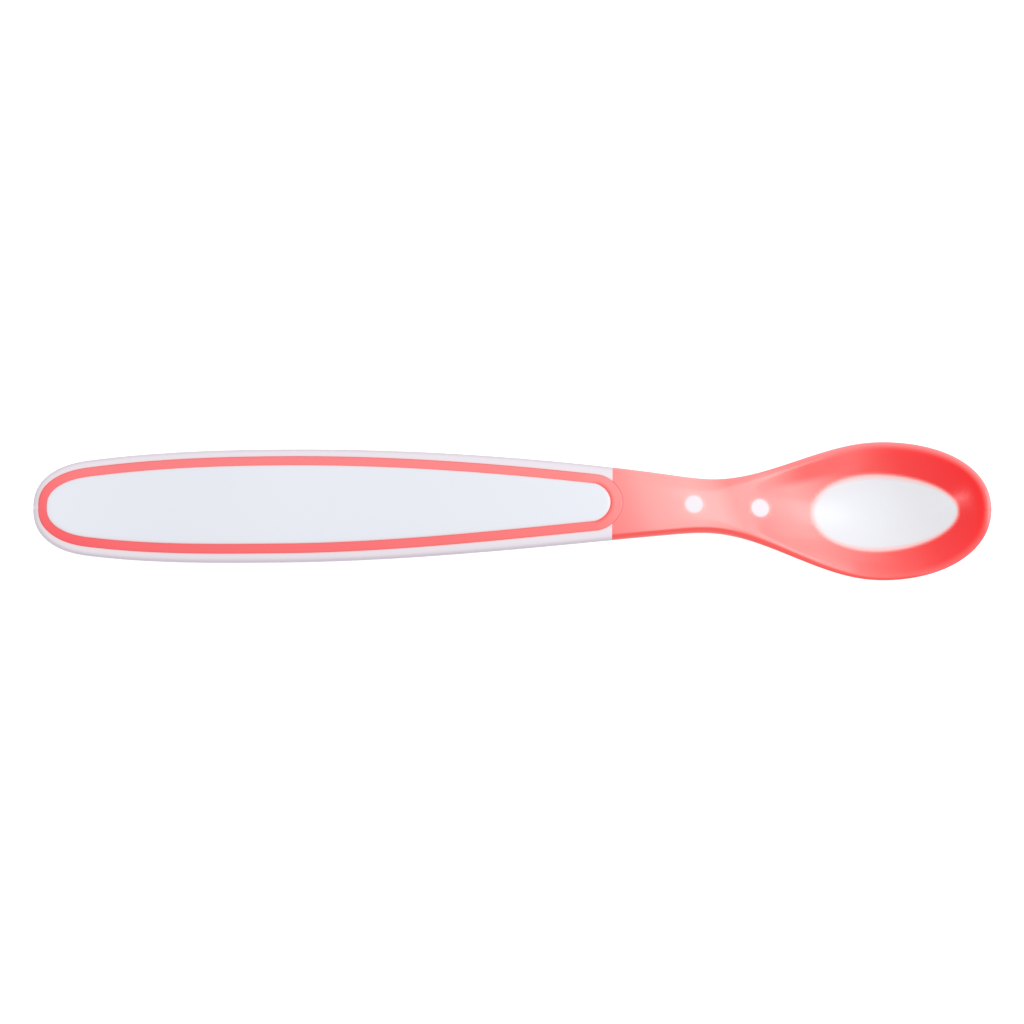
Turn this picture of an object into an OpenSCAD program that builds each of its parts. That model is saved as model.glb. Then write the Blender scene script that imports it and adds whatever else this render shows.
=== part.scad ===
// A baby's weaning spoon. A rigid white core carries a soft coral skin over its
// neck and bowl, and a soft coral ring and a white panel are let into the handle.
// X runs along the spoon with the bowl at +X, Z is up, and the spoon lies on Z = 0.
// In the functions, s is the distance from the tail end and y the distance from
// the middle line.

/* [Lengths along the spoon] */
// Tail end to the widest place of the handle
tail_length = 41.3; // [37:0.1:46]
// Widest place of the handle to the shoulder
grip_length = 64.7; // [58:0.1:72]
// Shoulder to the narrowest place of the neck
waist_length = 7; // [5:0.5:9]
// Narrowest place of the neck to the widest place of the bowl
flare_length = 28.5; // [26:0.1:32]
// Widest place of the bowl to its tip
tip_length = 18.5; // [17:0.1:20]
// Reach of the round tail end
tail_round = 9.5; // [8:0.1:11]
// Start of the soft skin to the narrowest place of the neck
neck_skin_length = 16.2; // [13:0.1:19]
// Narrowest place of the neck to the deepest place of the bowl
heel_length = 26; // [24:0.1:28]

/* [Widths] */
// Width of the tail, without its round end
tail_width = 13.2; // [12:0.1:15]
// Largest width of the handle
handle_width = 19.1; // [17:0.1:22]
// Width at the shoulder
shoulder_width = 10.2; // [9.6:0.1:11]
// Least width of the neck
neck_width = 9; // [8:0.1:9.4]
// Largest width of the bowl
bowl_width = 23.4; // [21:0.1:27]

/* [Thicknesses] */
// Thickness of the tail
tail_thickness = 3.4; // [3:0.1:4]
// Thickness of the handle at its widest place
handle_thickness = 4.8; // [4.2:0.1:6]
// Thickness of the neck
neck_thickness = 3.9; // [3.4:0.1:4.6]
// Thickness of the bowl's round lip
lip_thickness = 1.6; // [1.2:0.1:2]
// Thickness of the bowl's floor, core and skin together
floor_thickness = 2.1; // [1.8:0.1:2.6]
// Thickness of the soft skin over the core
skin_thickness = 0.6; // [0.4:0.05:0.7]
// Thickness of the soft skin beside the core's stem
side_skin = 0.8; // [0.5:0.05:1.2]
// Reach of the rounding that thins the tail end and the tip
end_edge = 2.2; // [1.5:0.1:3]

/* [Side view] */
// Height of the handle's side line at its widest place
handle_height = 6.7; // [5.5:0.1:8]
// Highest place of the side line, just behind the neck
crest_height = 13.2; // [11:0.1:15]
// Start of the soft skin to the crest
crest_setback = 1.2; // [0:0.1:3]
// Height of the bowl's rim line over its lowest place
bowl_depth = 6.9; // [5.5:0.1:8]
// Rise of the rim line from there to the tip
tip_lift = 3.1; // [1.5:0.1:4]
// Depth of the flat that the tail rests on
rest_flat_depth = 0.3; // [0.2:0.05:0.5]

/* [Handle inlay] */
// White band outside the ring, along the sides
side_band = 1.4; // [1.2:0.05:2]
// White band outside the ring, at the start of the soft skin
front_band = 1.7; // [1.3:0.05:2.1]
// White band outside the ring, at the tail
tail_band = 0.8; // [0.6:0.05:1.4]
// Width of the ring along the sides
ring_width = 1.7; // [1.4:0.05:2.2]
// Width of the ring at the tail
tail_ring = 1.7; // [1.2:0.05:2.2]
// Width of the ring round the panel's front end
nose_ring = 2.35; // [1.6:0.05:2.6]
// Length of the ring's round front end
ring_nose = 4.4; // [3.8:0.1:5.6]
// Reach of the ring past the start of the soft skin
ring_reach = 1.8; // [1:0.1:2.5]
// Length of the panel's round front end
panel_nose = 2.9; // [2:0.1:4]
// Depth of the pocket under the handle's top line
pocket_depth = 1.9; // [1.5:0.05:2.2]
// Height of the panel over the ring
panel_rise = 0.2; // [0.1:0.05:0.4]
// Reach of the rounding along the panel's edge
panel_edge = 0.8; // [0.4:0.1:1.2]

/* [Bowl] */
// Width of the round lip beside the hollow
lip_width = 1.3; // [1.1:0.1:2.2]
// Reach of the soft lip beyond the core's plate, at the widest place
soft_lip = 3.2; // [2.4:0.1:4]
// Reach of the soft lip beyond the core's plate, at the tip
soft_tip = 4; // [3:0.1:4.6]
// Narrowest place of the neck to the start of the hollow
hollow_start = 1; // [0:0.1:3]

/* [Window and bosses] */
// Length of the white window in the bowl's floor
window_length = 24.4; // [20:0.1:26]
// Width of the window
window_width = 12.6; // [10:0.1:13.5]
// Tip of the bowl to the front end of the window
window_to_tip = 5.6; // [5.2:0.1:7]
// Window's heel end to its widest place
window_heel = 10.8; // [8:0.1:12]
// Diameter of the bosses that show as white dots on the neck
boss_d = 3.05; // [2:0.05:3.4]
// First boss to the narrowest place of the neck
boss_setback = 2.6; // [1.5:0.1:4]
// Distance between the two bosses
boss_spacing = 11.1; // [9:0.1:13]

/* [Hidden] */

white = "#f1f2f6";
panel_white = "#e8ebf2";
coral = "#ff8080";
ring_coral = "#fb7a7c";

// Powers that shape the round ends and the sections: 2 is an ellipse, more is squarer
tail_side_power = 2.75;
tail_power = 2.6;
tip_power = 2.16;
section_power = 2.6;
plate_power = 4;
window_power = 1.9;
scoop_power = 1.35;
hollow_power = 1.1;

// Slopes of the outline at the shoulder and of the side line at the widest place
shoulder_slope = 0.115;
handle_slope = 0.13;

// Share of the thickness over the side line, of the heel behind the thin lip,
// and of a round end that its first section takes
crown_share = 0.52;
lip_from_share = 0.7;
least_share = 0.003;

// Places along the spoon, from the tail end
widest_at = tail_length;
shoulder_at = widest_at + grip_length;
neck_at = shoulder_at + waist_length;
bowl_at = neck_at + flare_length;
spoon_length = bowl_at + tip_length;
skin_start = neck_at - neck_skin_length;
crest_at = skin_start + crest_setback;
deepest_at = neck_at + heel_length;
lip_from = neck_at + heel_length * lip_from_share;
hollow_from = neck_at + hollow_start;
hollow_end = spoon_length - lip_width;
plate_end = spoon_length - soft_tip;
ring_end = skin_start + ring_reach;
panel_end = ring_end - nose_ring;
panel_start = tail_band + tail_ring;
window_end = spoon_length - window_to_tip;
window_start = window_end - window_length;
boss_places = [neck_at - boss_setback, neck_at - boss_setback + boss_spacing];

// Steps of the surfaces
tail_steps = 8;
handle_steps = 20;
neck_steps = 20;
tip_steps = 10;
section_steps = 40;
plate_steps = 24;
nose_steps = 6;
inlay_steps = 10;
overrun = 3;

// A share held between 0 and 1, its smooth step, and a blend by that step
function clamp(x) = min(1, max(0, x));
function ease(x) = let(c = clamp(x)) c * c * (3 - 2 * c);
function blend(a, b, x) = a + (b - a) * ease(x);

// A cubic from a to b over a span, with a given slope at each end
function cubic(a, b, slope_a, slope_b, span, x) =
    a * (1 - ease(x)) + b * ease(x)
    + span * (slope_a * x * (1 - x) * (1 - x) - slope_b * x * x * (1 - x));

// A round end: 0 at the end, 1 where the rounding stops
function round_end(x, power) =
    let(c = max(least_share, clamp(x))) pow(1 - pow(1 - c, power), 1 / power);

// Half the width of the outline, before its tail end is rounded
function side_half(s) =
    s < widest_at
        ? (handle_width - (handle_width - tail_width) * pow(1 - s / tail_length, tail_side_power)) / 2
    : s < shoulder_at
        ? cubic(handle_width / 2, shoulder_width / 2, 0, -shoulder_slope, grip_length,
                (s - widest_at) / grip_length)
    : s < neck_at
        ? cubic(shoulder_width / 2, neck_width / 2, -shoulder_slope, 0, waist_length,
                (s - shoulder_at) / waist_length)
    : s < bowl_at
        ? blend(neck_width, bowl_width, (s - neck_at) / flare_length) / 2
    : bowl_width / 2 * round_end((spoon_length - s) / tip_length, tip_power);

function body_half(s) = side_half(s) * round_end(s / tail_round, tail_power);

// Thickness of the outer shape between its round edges
function thickness(s) =
    s < widest_at ? blend(tail_thickness, handle_thickness, s / tail_length)
    : s < neck_at ? blend(handle_thickness, neck_thickness, (s - widest_at) / (neck_at - widest_at))
    : blend(neck_thickness, lip_thickness, (s - neck_at) / (lip_from - neck_at));

// Share of the thickness that is left at the rounded tail end and tip
function end_round(s) = round_end(s / end_edge, 2) * round_end((spoon_length - s) / end_edge, 2);

function crown(s) = crown_share * thickness(s);
function keel(s) = (1 - crown_share) * thickness(s);

// Height of the side line, where the top and the underside meet
function side_z(s) =
    s < widest_at
        ? cubic(keel(0) - rest_flat_depth, handle_height, 0, handle_slope, tail_length, s / tail_length)
    : s < crest_at
        ? cubic(handle_height, crest_height, handle_slope, 0, crest_at - widest_at,
                (s - widest_at) / (crest_at - widest_at))
    : s < deepest_at
        ? blend(crest_height, bowl_depth, (s - crest_at) / (deepest_at - crest_at))
    : bowl_depth + tip_lift * pow((s - deepest_at) / (spoon_length - deepest_at), 2);

// Along the bowl, a share that is 1 at its deepest place and 0 at both ends
function scoop(s, from, to) =
    s < deepest_at ? ease((s - from) / (deepest_at - from))
    : pow(max(0, 1 - pow((s - deepest_at) / (to - deepest_at), 2)), scoop_power);

// How far the hollow lies under the crown, and the belly under the keel
hollow_depth = side_z(deepest_at) + crown(deepest_at) - floor_thickness;
belly_depth = side_z(deepest_at) - keel(deepest_at);

function hollow(s, y) =
    let(half = max(lip_width / 2, body_half(s) - lip_width), u = min(1, abs(y) / half))
    hollow_depth * scoop(s, hollow_from, hollow_end) * pow(1 - u * u, hollow_power);

function belly(s, y) =
    let(u = min(1, abs(y) / body_half(s)))
    belly_depth * scoop(s, neck_at, spoon_length) * (1 - u * u);

// Share of the crown and keel at a place across the width
function across(s, y) =
    let(u = min(1, abs(y) / body_half(s))) pow(1 - pow(u, section_power), 1 / section_power);

function top_z(s, y) = side_z(s) + crown(s) * end_round(s) * across(s, y) - hollow(s, y);
function under_z(s, y) = side_z(s) - keel(s) * end_round(s) * across(s, y) - belly(s, y);

// A closed solid through a row of sections, each a ring of as many points
module loft(sections) {
    rings = len(sections);
    ring = len(sections[0]);
    faces = concat(
        [[for (j = [0:ring - 1]) j]],
        [[for (j = [0:ring - 1]) rings * ring - 1 - j]],
        [for (i = [0:rings - 2], j = [0:ring - 1])
            [i * ring + j, (i + 1) * ring + j, (i + 1) * ring + (j + 1) % ring]],
        [for (i = [0:rings - 2], j = [0:ring - 1])
            [i * ring + j, (i + 1) * ring + (j + 1) % ring, i * ring + (j + 1) % ring]]
    );
    translate([-spoon_length / 2, 0, 0])
        polyhedron(points = [for (section = sections, p = section) p], faces = faces);
}

// The share of the half width at one step round a section
function around(angle, power) = sign(cos(angle)) * pow(abs(cos(angle)), 2 / power);

// One section of the outer shape
function outer_section(s) = [
    for (i = [0:section_steps - 1])
        let(angle = 360 * i / section_steps, y = body_half(s) * around(angle, section_power))
        [s, y, i == 0 || 2 * i == section_steps ? side_z(s)
            : 2 * i < section_steps ? top_z(s, y) : under_z(s, y)]
];

// The outer shape of the white handle
module handle_shape() {
    loft(concat(
        [for (i = [0:tail_steps - 1]) outer_section(tail_round * (1 - cos(90 * i / tail_steps)))],
        [for (i = [0:handle_steps])
            outer_section(tail_round + (skin_start - tail_round) * i / handle_steps)]
    ));
}

// The outer shape of the soft neck and bowl
module bowl_shape() {
    loft(concat(
        [for (i = [0:neck_steps - 1]) outer_section(skin_start + (bowl_at - skin_start) * i / neck_steps)],
        [for (i = [0:tip_steps]) outer_section(bowl_at + tip_length * sin(90 * i / tip_steps))]
    ));
}

// Half the width of the core's stem and plate, inside the soft skin
function plate_half(s) =
    s < bowl_at
        ? body_half(s) - blend(side_skin, soft_lip, (s - neck_at) / flare_length)
        : (bowl_width / 2 - soft_lip) * round_end((plate_end - s) / (plate_end - bowl_at), 2);

function middle_z(s, y) = (top_z(s, y) + under_z(s, y)) / 2;

// One section of the stem and plate, a skin thickness inside the outer shape
function plate_section(s) = [
    for (i = [0:plate_steps - 1])
        let(
            angle = 360 * i / plate_steps,
            y = plate_half(s) * around(angle, plate_power),
            rise = (top_z(s, y) - under_z(s, y)) / 2 - skin_thickness,
            thin = round_end((plate_end - s) / end_edge, 2)
        )
        [s, y, middle_z(s, y) + rise * thin * around(angle - 90, plate_power)]
];

// The core inside the neck and bowl: a stem that widens to a dished plate
module stem_and_plate() {
    from = skin_start - overrun;
    loft(concat(
        [for (i = [0:neck_steps - 1]) plate_section(from + (bowl_at - from) * i / neck_steps)],
        [for (i = [0:tip_steps]) plate_section(bowl_at + (plate_end - bowl_at) * sin(90 * i / tip_steps))]
    ));
}

// Half the width of the window
function window_half(s) =
    window_width / 2 * round_end((s - window_start) / window_heel, 2)
    * round_end((window_end - s) / (window_length - window_heel), window_power);

// One section of the plug through the window, from inside the plate up
function window_section(s) =
    let(half = window_half(s), top = side_z(s) + overrun)
    concat([[s, -half, top]],
        [for (i = [0:inlay_steps]) let(y = half * (2 * i / inlay_steps - 1)) [s, y, middle_z(s, y)]],
        [[s, half, top]]);

// Everything that reaches through the soft skin: the window and the two bosses
module window_plug() {
    middle = window_start + window_heel;
    loft(concat(
        [for (i = [0:inlay_steps - 1])
            window_section(window_start + window_heel * (1 - cos(90 * i / inlay_steps)))],
        [for (i = [0:inlay_steps])
            window_section(middle + (window_end - middle) * sin(90 * i / inlay_steps))]
    ));
}

module boss_plugs() {
    for (s = boss_places)
        translate([s - spoon_length / 2, 0, middle_z(s, 0)])
            cylinder(d = boss_d, h = crown(s) + overrun, $fn = 48);
}

// White band between the handle's side and the ring
function band(s) = blend(side_band, front_band, (s - widest_at) / (skin_start - widest_at));

// Half the width of an inlay outline that follows the white band
function inlay_half(s, inset, start, end, nose) =
    (side_half(s) - band(s) - inset) * round_end((s - start) / (tail_round - start), tail_power)
    * round_end((end - s) / nose, 2);

// Stations along an inlay, close together at its round ends
function inlay_stations(start, end, nose) = concat(
    [for (i = [0:tail_steps - 1]) start + (tail_round - start) * (1 - cos(90 * i / tail_steps))],
    [for (i = [0:handle_steps - 1]) tail_round + (end - nose - tail_round) * i / handle_steps],
    [for (i = [0:nose_steps]) end - nose + nose * sin(90 * i / nose_steps)]
);

// Height of the pocket's floor, which follows the handle's top line
function pocket_z(s) = side_z(s) + crown(s) - pocket_depth;

// A solid on the pocket's floor with the inlay's outline and a given top
module inlay(inset, start, end, nose, drop, steps, top) {
    loft([
        for (s = inlay_stations(start, end, nose))
            let(half = inlay_half(s, inset, start, end, nose))
            concat([[s, -half, pocket_z(s) - drop], [s, half, pocket_z(s) - drop]],
                [for (i = [0:steps]) let(y = half * cos(180 * i / steps)) [s, y, top(s, y, half)]])
    ]);
}

// The pocket in the handle and the front of the neck
module pocket(drop, steps, top) {
    inlay(0, tail_band, ring_end, ring_nose, drop, steps, top);
}

// The hole in the ring that the panel fills
module panel_room(drop, steps, top) {
    inlay(ring_width, panel_start, panel_end, panel_nose, drop, steps, top);
}

over_top = function (s, y, half) side_z(s) + crown(s) + overrun;
ring_top = function (s, y, half) top_z(s, y);
panel_top = function (s, y, half)
    top_z(s, y) + panel_rise * round_end((half - abs(y)) / panel_edge, 2)
    * round_end((s - panel_start) / panel_edge, 2) * round_end((panel_end - s) / panel_edge, 2);

// Rigid core: handle, stem, bowl plate, window pad and locating bosses
module core() {
    color(white) difference() {
        union() {
            difference() {
                handle_shape();
                // Flat that the tail rests on
                translate([-spoon_length / 2 - overrun, -handle_width / 2, -overrun])
                    cube([tail_length, handle_width, overrun]);
            }
            stem_and_plate();
            intersection() {
                bowl_shape();
                union() {
                    window_plug();
                    boss_plugs();
                }
            }
        }
        pocket(0, 1, over_top);
    }
}

// White panel inside the ring
module handle_panel() {
    color(panel_white) panel_room(0, inlay_steps, panel_top);
}

// Soft ring between the panel and the handle's white band
module grip_ring() {
    color(ring_coral) difference() {
        pocket(0, inlay_steps, ring_top);
        panel_room(overrun, 1, over_top);
    }
}

// Soft skin over the neck and bowl, with its soft lip
module soft_bowl() {
    color(coral) difference() {
        bowl_shape();
        stem_and_plate();
        window_plug();
        boss_plugs();
        pocket(0, 1, over_top);
    }
}

core();
handle_panel();
grip_ring();
soft_bowl();
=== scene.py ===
# %% [markdown]
# # A baby's weaning spoon
# The real spoon is moulded in two shots. A hard white core is made first: it is the handle, a thin
# stem through the neck and a small plate in the bowl. Then a soft coral rubber is moulded over the
# neck and bowl, and into a ring round the panel of the handle. The pieces made here stand in for
# the nodes of the imported CAD model, which are hidden.

import math
from functools import partial

import bmesh
import bpy
import mathutils
from mathutils.kdtree import KDTree
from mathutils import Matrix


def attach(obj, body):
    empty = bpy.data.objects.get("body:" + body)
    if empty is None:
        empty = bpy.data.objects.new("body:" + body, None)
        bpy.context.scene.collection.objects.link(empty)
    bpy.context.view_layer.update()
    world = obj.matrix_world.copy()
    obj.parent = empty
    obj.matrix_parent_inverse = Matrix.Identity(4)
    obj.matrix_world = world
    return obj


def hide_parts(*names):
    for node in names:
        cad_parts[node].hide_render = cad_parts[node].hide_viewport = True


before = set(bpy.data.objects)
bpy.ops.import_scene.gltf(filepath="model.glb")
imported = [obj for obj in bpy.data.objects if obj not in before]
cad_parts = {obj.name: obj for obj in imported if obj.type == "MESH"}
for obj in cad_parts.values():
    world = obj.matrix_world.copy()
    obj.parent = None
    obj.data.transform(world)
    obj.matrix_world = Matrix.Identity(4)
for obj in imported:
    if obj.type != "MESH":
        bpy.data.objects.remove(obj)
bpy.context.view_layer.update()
print("CAD nodes:", ", ".join(sorted(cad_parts)))

# %% [markdown]
# ## Sizes
# The spoon's sizes are in millimetres and are the ones that the CAD part has,
# apart from the ring: after a closer look at the photo it is 0.15 mm narrower
# here along the sides and 0.3 mm narrower at its ends. A place along the spoon is
# its distance s from the tail end. Only where a size meets Blender is it turned
# into metres.

# %% Sizes along the spoon
MM = 0.001
WIDEST_AT = 41.3
SHOULDER_AT = 106.0
NECK_AT = 113.0
BOWL_AT = 141.5
SPOON_LENGTH = 160.0
TAIL_ROUND = 9.5
SKIN_START = 96.8
CREST_AT = 98.0
DEEPEST_AT = 139.0
LIP_FROM = 131.2
END_EDGE = 2.2
print("the spoon is", SPOON_LENGTH, "mm long, with its bowl widest at", BOWL_AT)

# %% Widths, thicknesses and heights
TAIL_WIDTH = 13.2
HANDLE_WIDTH = 19.1
SHOULDER_WIDTH = 10.2
NECK_WIDTH = 9.0
BOWL_WIDTH = 23.4
TAIL_THICKNESS = 3.4
HANDLE_THICKNESS = 4.8
NECK_THICKNESS = 3.9
LIP_THICKNESS = 1.6
FLOOR_THICKNESS = 2.1
SKIN_THICKNESS = 0.6
SIDE_SKIN = 0.8
HANDLE_HEIGHT = 6.7
CREST_HEIGHT = 13.2
BOWL_DEPTH = 6.9
TIP_LIFT = 3.1
REST_FLAT_DEPTH = 0.3
print("widths of handle, neck and bowl:", HANDLE_WIDTH, NECK_WIDTH, BOWL_WIDTH)

# %% Inlay, lip, window and bosses
SIDE_BAND = 1.4
FRONT_BAND = 1.7
TAIL_BAND = 0.9
RING_WIDTH = 1.55
RING_END = 98.6
RING_NOSE = 4.4
PANEL_START = 2.3
PANEL_END = 96.53
PANEL_NOSE = 2.9
PANEL_RISE = 0.2
PANEL_EDGE = 0.8
POCKET_DEPTH = 1.9
LIP_WIDTH = 1.3
SOFT_LIP = 3.2
PLATE_END = 156.0
HOLLOW_FROM = 114.0
HOLLOW_END = 158.7
WINDOW_START = 130.0
WINDOW_END = 154.4
WINDOW_WIDTH = 12.6
WINDOW_HEEL = 10.8
BOSS_RADIUS = 1.525
BOSS_PLACES = (110.4, 121.5)
print("ring", RING_WIDTH, "mm wide, window", WINDOW_WIDTH, "mm wide")

# %% Powers and slopes of the curves
TAIL_SIDE_POWER = 2.75
TAIL_POWER = 2.6
TIP_POWER = 2.16
SECTION_POWER = 2.6
WINDOW_POWER = 1.9
SCOOP_POWER = 1.35
HOLLOW_POWER = 1.1
SHOULDER_SLOPE = 0.115
HANDLE_SLOPE = 0.13
CROWN_SHARE = 0.52
LEAST_SHARE = 0.0005

# %% [markdown]
# ## The curves of the spoon
# A spoon could be drawn by eye over a picture, but the four pieces have to meet
# without gaps. So its outline, side view and thickness are each one short
# formula, and every piece asks the same formulas where its points go.

# %% Steps, blends and round ends
def ease(x):
    """From 0 to 1 as x goes from 0 to 1, with a soft start and a soft end."""
    c = min(1, max(0, x))
    return c * c * (3 - 2 * c)


def blend(a, b, x):
    """From a to b as x goes from 0 to 1."""
    return a + (b - a) * ease(x)


def cubic(a, b, slope_a, slope_b, span, x):
    """A curve from a to b over a span, with a given slope at each end."""
    bend = slope_a * x * (1 - x) ** 2 - slope_b * x * x * (1 - x)
    return blend(a, b, x) + span * bend


def round_end(x, power):
    """Nearly 0 at a round end, so that a ring never shrinks to a point, up to 1."""
    c = min(1, max(LEAST_SHARE, x))
    return (1 - (1 - c) ** power) ** (1 / power)


# %% The outline seen from above
CHECK_PLACES = (0, 40, 80, 120, 160)


def side_half(s):
    """Half the width, before the tail end is rounded."""
    if s < WIDEST_AT:
        narrower = (1 - s / WIDEST_AT) ** TAIL_SIDE_POWER
        return (HANDLE_WIDTH - (HANDLE_WIDTH - TAIL_WIDTH) * narrower) / 2
    if s < SHOULDER_AT:
        span = SHOULDER_AT - WIDEST_AT
        ends = (HANDLE_WIDTH / 2, SHOULDER_WIDTH / 2, 0, -SHOULDER_SLOPE)
        return cubic(*ends, span, (s - WIDEST_AT) / span)
    if s < NECK_AT:
        span = NECK_AT - SHOULDER_AT
        ends = (SHOULDER_WIDTH / 2, NECK_WIDTH / 2, -SHOULDER_SLOPE, 0)
        return cubic(*ends, span, (s - SHOULDER_AT) / span)
    if s < BOWL_AT:
        return blend(NECK_WIDTH, BOWL_WIDTH, (s - NECK_AT) / (BOWL_AT - NECK_AT)) / 2
    tip = (SPOON_LENGTH - s) / (SPOON_LENGTH - BOWL_AT)
    return BOWL_WIDTH / 2 * round_end(tip, TIP_POWER)


def body_half(s):
    """Half the width of the spoon."""
    return side_half(s) * round_end(s / TAIL_ROUND, TAIL_POWER)


print("half widths each 40 mm:", [round(body_half(s), 2) for s in CHECK_PLACES])

# %% The side view
def side_z(s):
    """Height of the side line, where the top and the underside meet."""
    if s < WIDEST_AT:
        low = (1 - CROWN_SHARE) * TAIL_THICKNESS - REST_FLAT_DEPTH
        return cubic(low, HANDLE_HEIGHT, 0, HANDLE_SLOPE, WIDEST_AT, s / WIDEST_AT)
    if s < CREST_AT:
        span = CREST_AT - WIDEST_AT
        ends = (HANDLE_HEIGHT, CREST_HEIGHT, HANDLE_SLOPE, 0)
        return cubic(*ends, span, (s - WIDEST_AT) / span)
    if s < DEEPEST_AT:
        share = (s - CREST_AT) / (DEEPEST_AT - CREST_AT)
        return blend(CREST_HEIGHT, BOWL_DEPTH, share)
    share = (s - DEEPEST_AT) / (SPOON_LENGTH - DEEPEST_AT)
    return BOWL_DEPTH + TIP_LIFT * share**2


def thickness(s):
    """Thickness between the round edges, thinned at the tail end and the tip."""
    ends = round_end(s / END_EDGE, 2) * round_end((SPOON_LENGTH - s) / END_EDGE, 2)
    if s < WIDEST_AT:
        return ends * blend(TAIL_THICKNESS, HANDLE_THICKNESS, s / WIDEST_AT)
    if s < NECK_AT:
        share = (s - WIDEST_AT) / (NECK_AT - WIDEST_AT)
        return ends * blend(HANDLE_THICKNESS, NECK_THICKNESS, share)
    share = (s - NECK_AT) / (LIP_FROM - NECK_AT)
    return ends * blend(NECK_THICKNESS, LIP_THICKNESS, share)


print("side line each 40 mm:", [round(side_z(s), 2) for s in CHECK_PLACES])

# %% How far the bowl is pressed down, above and below
def scoop(s, start, end):
    """1 at the deepest place of the bowl and 0 at both its ends."""
    if s < DEEPEST_AT:
        return ease((s - start) / (DEEPEST_AT - start))
    past = (s - DEEPEST_AT) / (end - DEEPEST_AT)
    return max(0, 1 - past**2) ** SCOOP_POWER


HOLLOW_DEPTH = side_z(DEEPEST_AT) + CROWN_SHARE * LIP_THICKNESS - FLOOR_THICKNESS
BELLY_DEPTH = side_z(DEEPEST_AT) - (1 - CROWN_SHARE) * LIP_THICKNESS


def hollow(s, y):
    """How deep the top is pressed in, at a place along and across."""
    half = max(LIP_WIDTH / 2, body_half(s) - LIP_WIDTH)
    section = max(0, 1 - (y / half) ** 2) ** HOLLOW_POWER
    return HOLLOW_DEPTH * scoop(s, HOLLOW_FROM, HOLLOW_END) * section


def belly(s, y):
    """How far the underside bulges down, at a place along and across."""
    section = max(0, 1 - (y / body_half(s)) ** 2)
    return BELLY_DEPTH * scoop(s, NECK_AT, SPOON_LENGTH) * section


print("bowl hollow", round(HOLLOW_DEPTH, 2), "mm deep")

# %% [markdown]
# ## Tools of the bench
# These few helpers do what a hand does in the 3D view: clear the selection, pick
# points by their place, press a modifier's Apply button. Blender's operators
# work on whatever is selected, so each job starts by picking. A point within
# 0.002 mm of a place counts as being there.

# %% Picking points and edges
TINY = 0.002 * MM


def clear_bench():
    """Leaves edit mode and selects nothing, so that an operator touches nothing old."""
    if bpy.context.object and bpy.context.object.mode == "EDIT":
        bpy.ops.object.mode_set(mode="OBJECT")
    bpy.ops.object.select_all(action="DESELECT")


def pick_points(wanted):
    """In edit mode, selects the points whose place passes a test."""
    bpy.ops.mesh.select_all(action="DESELECT")
    mesh = bmesh.from_edit_mesh(bpy.context.object.data)
    for point in mesh.verts:
        if wanted(point.co):
            point.select_set(True)
    mesh.select_flush(True)
    bmesh.update_edit_mesh(bpy.context.object.data)


def pick_edges(wanted):
    """In edge mode, selects the edges whose two ends pass a test."""
    bpy.ops.mesh.select_mode(type="EDGE")
    bpy.ops.mesh.select_all(action="DESELECT")
    mesh = bmesh.from_edit_mesh(bpy.context.object.data)
    for edge in mesh.edges:
        if wanted(edge.verts[0].co, edge.verts[1].co):
            edge.select_set(True)
    bmesh.update_edit_mesh(bpy.context.object.data)


# %% Naming, copying and finishing
def settle(name):
    """Names the new object, and puts its place and turn into its mesh."""
    bpy.ops.object.transform_apply(location=True, rotation=True, scale=True)
    bpy.context.object.name = name
    return bpy.context.object


def take(piece):
    """Makes one piece the only one selected, and the active one."""
    clear_bench()
    piece.select_set(True)
    bpy.context.view_layer.objects.active = piece
    return piece


def copy_of(piece, name):
    take(piece)
    bpy.ops.object.duplicate()
    bpy.context.object.name = name
    return bpy.context.object


def edit(piece):
    """Opens one piece in edit mode, to pick its points."""
    take(piece)
    bpy.ops.object.mode_set(mode="EDIT")
    bpy.ops.mesh.select_mode(type="VERT")


def face_outwards(piece):
    """Turns every face so that its front is outside."""
    edit(piece)
    bpy.ops.mesh.select_all(action="SELECT")
    bpy.ops.mesh.normals_make_consistent(inside=False)
    clear_bench()


def modify(piece, kind, **settings):
    """Adds a modifier with its settings and applies it."""
    take(piece)
    bpy.ops.object.modifier_add(type=kind)
    modifier = piece.modifiers[-1]
    for name, value in settings.items():
        setattr(modifier, name, value)
    bpy.ops.object.modifier_apply(modifier=modifier.name)


def combine(piece, other, operation):
    """Joins another closed piece on, cuts it out, or keeps what both share."""
    modify(piece, "BOOLEAN", operation=operation, object=other, solver="MANIFOLD")


# %% [markdown]
# ## The spoon's form
# The core and the skin share one outer surface, so one closed form is modelled
# first and both are cut from it. It starts as a circle at the tail. The circle
# is squared a little, because the spoon's section is a plump oval, and then it
# is extruded ring by ring, each ring resized to the width and thickness there.
# A loft would do the same in one step, but rings keep every station in view.

# %% Stations of the rings
RING_POINTS = 40
TAIL_RINGS = 10
HANDLE_RINGS = 48
TIP_RINGS = 15


def quarter_turns(count):
    """A quarter turn in equal steps, without its end."""
    return [math.radians(90 * i / count) for i in range(count)]


handle_length = BOWL_AT - TAIL_ROUND
tip_length = SPOON_LENGTH - BOWL_AT
stations = [TAIL_ROUND * (1 - math.cos(turn)) for turn in quarter_turns(TAIL_RINGS)]
stations += [TAIL_ROUND + handle_length * i / HANDLE_RINGS for i in range(HANDLE_RINGS)]
stations += [BOWL_AT + tip_length * math.sin(turn) for turn in quarter_turns(TIP_RINGS)]
stations += [SPOON_LENGTH]


def x_of(s):
    """Blender's x, in metres, of a place along the spoon."""
    return (s - SPOON_LENGTH / 2) * MM


def on_side_line(s):
    """The point of the spoon's middle plane on its side line, in metres."""
    return (x_of(s), 0, side_z(s) * MM)


print(len(stations), "rings of", RING_POINTS, "points")

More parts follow.
